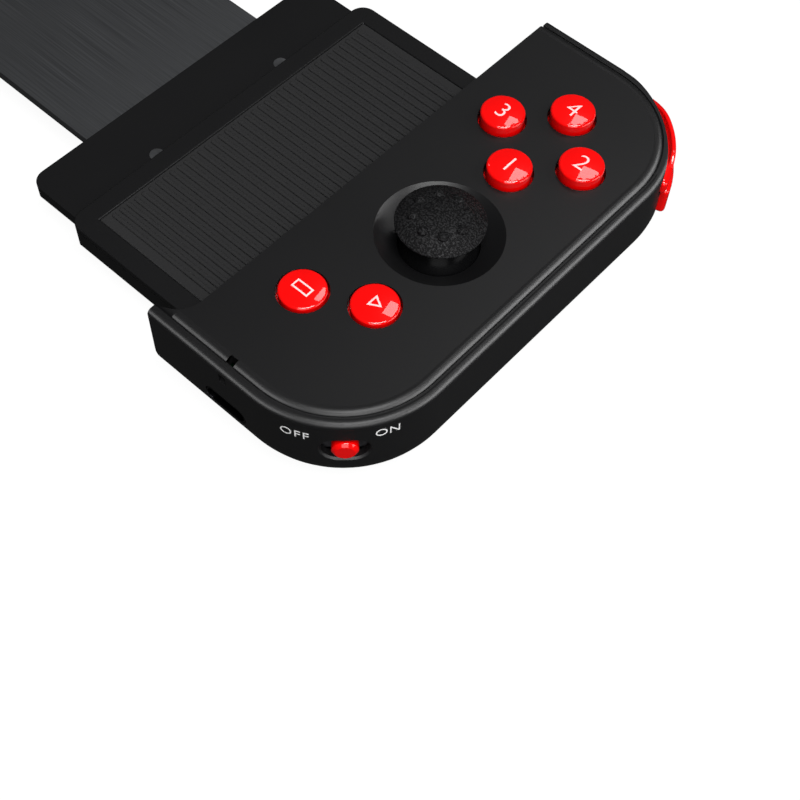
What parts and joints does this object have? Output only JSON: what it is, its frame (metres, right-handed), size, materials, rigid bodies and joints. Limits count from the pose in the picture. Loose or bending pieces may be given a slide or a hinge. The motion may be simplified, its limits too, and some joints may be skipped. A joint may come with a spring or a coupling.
{
  "type": "mobile game controller",
  "caption": "Telescopic two-handed game controller that clamps a phone between two grips, with sticks, push buttons, shoulder buttons and triggers.",
  "frame": {"origin": "midway between the two grips, at the centre of the overall box, on the plane of the grips' back faces", "axes": "+X from the left grip to the right grip, +Y towards the shoulder buttons, +Z out of the front plates"},
  "size_m": [0.2384, 0.0974, 0.0253],
  "materials": {
    "shell_black": "fine matte texture",
    "gloss_red": "high gloss",
    "rubber_black": "stippled",
    "gloss_black": "gloss",
    "board_green": "solder mask",
    "steel": "bright",
    "silicone": "translucent white",
    "battery_foil": "foil pouch",
    "inner_plastic": "moulded"
  },
  "bodies": {
    "right_grip": {"right_front_plate": "shell_black", "right_rear_shell": "shell_black", "right_tray": "shell_black", "right_tray_cover": "shell_black", "right_tray_pad": "rubber_black", "right_wall_pad": "rubber_black", "right_screws": "steel", "right_board": "board_green", "right_stick_base": "inner_plastic", "right_shoulder_pin": "steel", "right_shoulder_springs": "steel", "right_clamp_springs": "steel", "battery": "battery_foil", "charging_port": "steel", "power_switch_body": "inner_plastic", "face_membrane": "silicone", "select_start_membrane": "silicone"},
    "left_grip": {"left_front_plate": "shell_black", "left_rear_shell": "shell_black", "left_tray": "shell_black", "left_tray_cover": "shell_black", "left_tray_pad": "rubber_black", "left_wall_pad": "rubber_black", "left_screws": "steel", "left_board": "board_green", "left_stick_base": "inner_plastic", "left_shoulder_pin": "steel", "left_shoulder_springs": "steel", "left_clamp_springs": "steel", "arrow_membrane": "silicone", "turbo_home_membrane": "silicone"},
    "bridge": {"bridge_bar": "steel", "right_slider": "shell_black", "left_slider": "shell_black", "bridge_rivets": "steel"},
    "power_switch_knob": {"power_switch_knob": "gloss_red"},
    "face_button_1": {"face_button_1": "gloss_red"},
    "face_button_2": {"face_button_2": "gloss_red"},
    "face_button_3": {"face_button_3": "gloss_red"},
    "face_button_4": {"face_button_4": "gloss_red"},
    "select_button": {"select_button": "gloss_red"},
    "start_button": {"start_button": "gloss_red"},
    "arrow_button_down": {"arrow_button_down": "gloss_red"},
    "arrow_button_left": {"arrow_button_left": "gloss_red"},
    "arrow_button_right": {"arrow_button_right": "gloss_red"},
    "arrow_button_up": {"arrow_button_up": "gloss_red"},
    "turbo_button": {"turbo_button": "gloss_red"},
    "home_button": {"home_button": "gloss_red"},
    "right_stick_gimbal": {"right_stick_gimbal": "inner_plastic"},
    "right_stick": {"right_stick_stem": "gloss_black", "right_stick_cap": "rubber_black"},
    "right_bumper": {"right_bumper": "gloss_red"},
    "right_trigger": {"right_trigger": "gloss_red"},
    "left_stick_gimbal": {"left_stick_gimbal": "inner_plastic"},
    "left_stick": {"left_stick_stem": "gloss_black", "left_stick_cap": "rubber_black"},
    "left_bumper": {"left_bumper": "gloss_red"},
    "left_trigger": {"left_trigger": "gloss_red"}
  },
  "joints": [
    {"name": "bridge_slide", "type": "slide", "parent": "right_grip", "child": "bridge", "axis": [-1, 0, 0], "range_m": [-0.016, 0.009], "deforming": ["right_clamp_springs"]},
    {"name": "left_grip_slide", "type": "slide", "parent": "bridge", "child": "left_grip", "axis": [-1, 0, 0], "range_m": [-0.016, 0.009], "deforming": ["left_clamp_springs"]},
    {"name": "face_button_1_press", "type": "slide", "parent": "right_grip", "child": "face_button_1", "axis": [0, 0, -1], "range_m": [0, 0.0013], "stiffness_N_per_m": 800, "deforming": ["face_membrane"]},
    {"name": "face_button_2_press", "type": "slide", "parent": "right_grip", "child": "face_button_2", "axis": [0, 0, -1], "range_m": [0, 0.0013], "stiffness_N_per_m": 800, "deforming": ["face_membrane"]},
    {"name": "face_button_3_press", "type": "slide", "parent": "right_grip", "child": "face_button_3", "axis": [0, 0, -1], "range_m": [0, 0.0013], "stiffness_N_per_m": 800, "deforming": ["face_membrane"]},
    {"name": "face_button_4_press", "type": "slide", "parent": "right_grip", "child": "face_button_4", "axis": [0, 0, -1], "range_m": [0, 0.0013], "stiffness_N_per_m": 800, "deforming": ["face_membrane"]},
    {"name": "select_button_press", "type": "slide", "parent": "right_grip", "child": "select_button", "axis": [0, 0, -1], "range_m": [0, 0.0008], "stiffness_N_per_m": 800, "deforming": ["select_start_membrane"]},
    {"name": "start_button_press", "type": "slide", "parent": "right_grip", "child": "start_button", "axis": [0, 0, -1], "range_m": [0, 0.0008], "stiffness_N_per_m": 800, "deforming": ["select_start_membrane"]},
    {"name": "arrow_button_down_press", "type": "slide", "parent": "left_grip", "child": "arrow_button_down", "axis": [0, 0, -1], "range_m": [0, 0.0013], "stiffness_N_per_m": 800, "deforming": ["arrow_membrane"]},
    {"name": "arrow_button_left_press", "type": "slide", "parent": "left_grip", "child": "arrow_button_left", "axis": [0, 0, -1], "range_m": [0, 0.0013], "stiffness_N_per_m": 800, "deforming": ["arrow_membrane"]},
    {"name": "arrow_button_right_press", "type": "slide", "parent": "left_grip", "child": "arrow_button_right", "axis": [0, 0, -1], "range_m": [0, 0.0013], "stiffness_N_per_m": 800, "deforming": ["arrow_membrane"]},
    {"name": "arrow_button_up_press", "type": "slide", "parent": "left_grip", "child": "arrow_button_up", "axis": [0, 0, -1], "range_m": [0, 0.0013], "stiffness_N_per_m": 800, "deforming": ["arrow_membrane"]},
    {"name": "turbo_button_press", "type": "slide", "parent": "left_grip", "child": "turbo_button", "axis": [0, 0, -1], "range_m": [0, 0.0008], "stiffness_N_per_m": 800, "deforming": ["turbo_home_membrane"]},
    {"name": "home_button_press", "type": "slide", "parent": "left_grip", "child": "home_button", "axis": [0, 0, -1], "range_m": [0, 0.0008], "stiffness_N_per_m": 800, "deforming": ["turbo_home_membrane"]},
    {"name": "right_stick_tilt_y", "type": "hinge", "parent": "right_grip", "child": "right_stick_gimbal", "pos_m": [0.0985, -0.00485, 0.0144], "axis": [1, 0, 0], "range_deg": [-13, 13], "stiffness_Nm_per_rad": 0.02},
    {"name": "right_stick_tilt_x", "type": "hinge", "parent": "right_stick_gimbal", "child": "right_stick", "pos_m": [0.0985, -0.00485, 0.0144], "axis": [0, 1, 0], "range_deg": [-13, 13], "stiffness_Nm_per_rad": 0.02},
    {"name": "right_bumper_press", "type": "hinge", "parent": "right_grip", "child": "right_bumper", "pos_m": [0.1119, 0.03338, 0.0142], "axis": [0, 0, 1], "range_deg": [0, 3], "stiffness_Nm_per_rad": 0.6},
    {"name": "right_trigger_press", "type": "hinge", "parent": "right_grip", "child": "right_trigger", "pos_m": [0.1119, 0.03338, 0.0063], "axis": [0, 0, 1], "range_deg": [0, 5], "stiffness_Nm_per_rad": 0.6},
    {"name": "left_stick_tilt_y", "type": "hinge", "parent": "left_grip", "child": "left_stick_gimbal", "pos_m": [-0.0985, -0.00485, 0.0144], "axis": [1, 0, 0], "range_deg": [-13, 13], "stiffness_Nm_per_rad": 0.02},
    {"name": "left_stick_tilt_x", "type": "hinge", "parent": "left_stick_gimbal", "child": "left_stick", "pos_m": [-0.0985, -0.00485, 0.0144], "axis": [0, 1, 0], "range_deg": [-13, 13], "stiffness_Nm_per_rad": 0.02},
    {"name": "left_bumper_press", "type": "hinge", "parent": "left_grip", "child": "left_bumper", "pos_m": [-0.1119, 0.03338, 0.0142], "axis": [0, 0, -1], "range_deg": [0, 3], "stiffness_Nm_per_rad": 0.6},
    {"name": "left_trigger_press", "type": "hinge", "parent": "left_grip", "child": "left_trigger", "pos_m": [-0.1119, 0.03338, 0.0063], "axis": [0, 0, -1], "range_deg": [0, 5], "stiffness_Nm_per_rad": 0.6},
    {"name": "power_switch_slide", "type": "slide", "parent": "right_grip", "child": "power_switch_knob", "axis": [0.7193, 0.6947, 0], "range_m": [-0.0012, 0.0012]}
  ],
  "couplings": [
    {"joint": "left_grip_slide", "follows": "bridge_slide", "ratio": 1}
  ]
}
